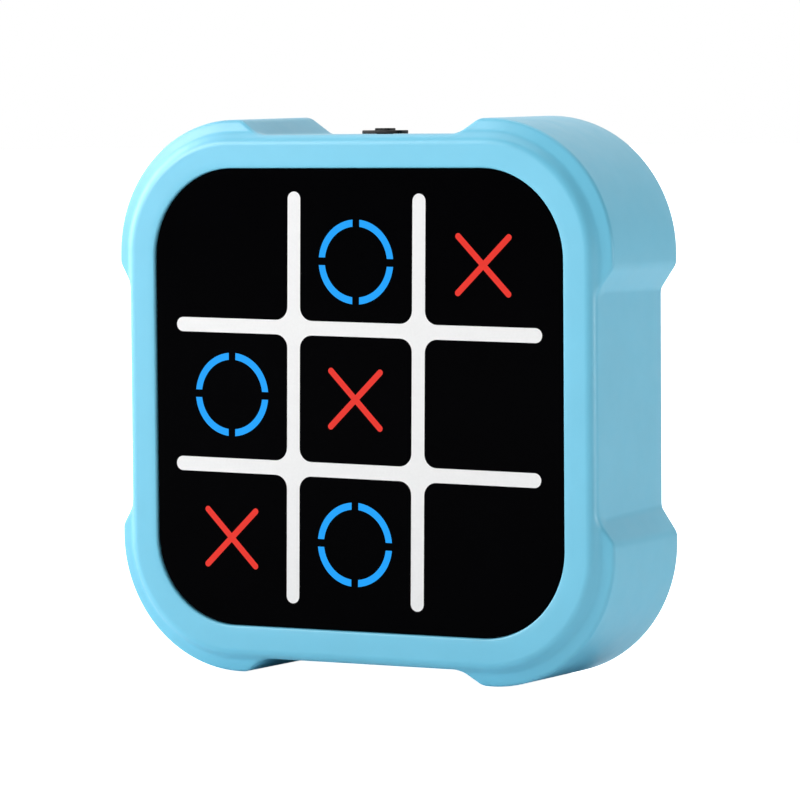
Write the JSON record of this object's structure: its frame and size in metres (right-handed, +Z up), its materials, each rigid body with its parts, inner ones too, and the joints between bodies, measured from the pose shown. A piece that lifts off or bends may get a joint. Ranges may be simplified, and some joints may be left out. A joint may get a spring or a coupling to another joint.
{
  "type": "handheld electronic tic tac toe game",
  "caption": "Square handheld noughts-and-crosses game with a black lit touch panel, blue case with corner bumpers, slide switch on top and a battery door at the back.",
  "frame": {"origin": "middle of the footprint, on the surface that the game stands on", "axes": "+X to the right seen from the face, +Y from the face to the back, +Z up"},
  "size_m": [0.08, 0.0224, 0.08],
  "materials": {
    "blue_abs": "satin moulded ABS, light blue",
    "black_acrylic": "glossy black acrylic with white printed grid",
    "foam_tape": "thin black double-sided foam tape",
    "clear_film": "clear polyester film",
    "white_abs": "matt white ABS",
    "clear_acrylic": "clear moulded acrylic",
    "red_lamp": "red lamp resin",
    "blue_lamp": "blue lamp resin",
    "board_green": "solder-masked glass-fibre board",
    "zinc_screw": "zinc-plated steel",
    "cream_connector": "cream nylon",
    "black_resin": "black moulded resin",
    "switch_can": "tinned steel can",
    "black_abs": "matt black ABS",
    "speaker_black": "black basket with dark cone",
    "wire_pvc": "soft PVC insulation",
    "cell_sleeve": "printed steel can of a dry cell",
    "nickel_steel": "nickel-plated spring steel"
  },
  "bodies": {
    "case": {"front_shell": "blue_abs", "face_panel": "black_acrylic", "panel_tape": "foam_tape", "touch_film": "clear_film", "light_frame": "white_abs", "x_light_guides": "clear_acrylic", "o_light_guides": "clear_acrylic", "red_leds": "red_lamp", "blue_leds": "blue_lamp", "main_board": "board_green", "board_screws": "zinc_screw", "film_connector": "cream_connector", "controller_chip": "black_resin", "switch_body": "switch_can", "speaker": "speaker_black", "speaker_wires": "wire_pvc", "battery_wires": "wire_pvc", "back_cover": "blue_abs", "case_screws": "zinc_screw", "battery_springs": "nickel_steel", "contact_plates": "nickel_steel", "battery_1": "cell_sleeve", "battery_2": "cell_sleeve", "battery_3": "cell_sleeve"},
    "slider": {"mode_slider": "black_abs", "switch_lever": "black_resin"},
    "door": {"battery_door": "blue_abs", "door_screw": "zinc_screw"}
  },
  "joints": [
    {"name": "mode_slide", "type": "slide", "parent": "case", "child": "slider", "axis": [1, 0, 0], "range_m": [-0.002, 0.002]},
    {"name": "door_tilt", "type": "hinge", "parent": "case", "child": "door", "pos_m": [0, 0.0094, 0.0514], "axis": [1, 0, 0], "range_deg": [0, 75]}
  ]
}
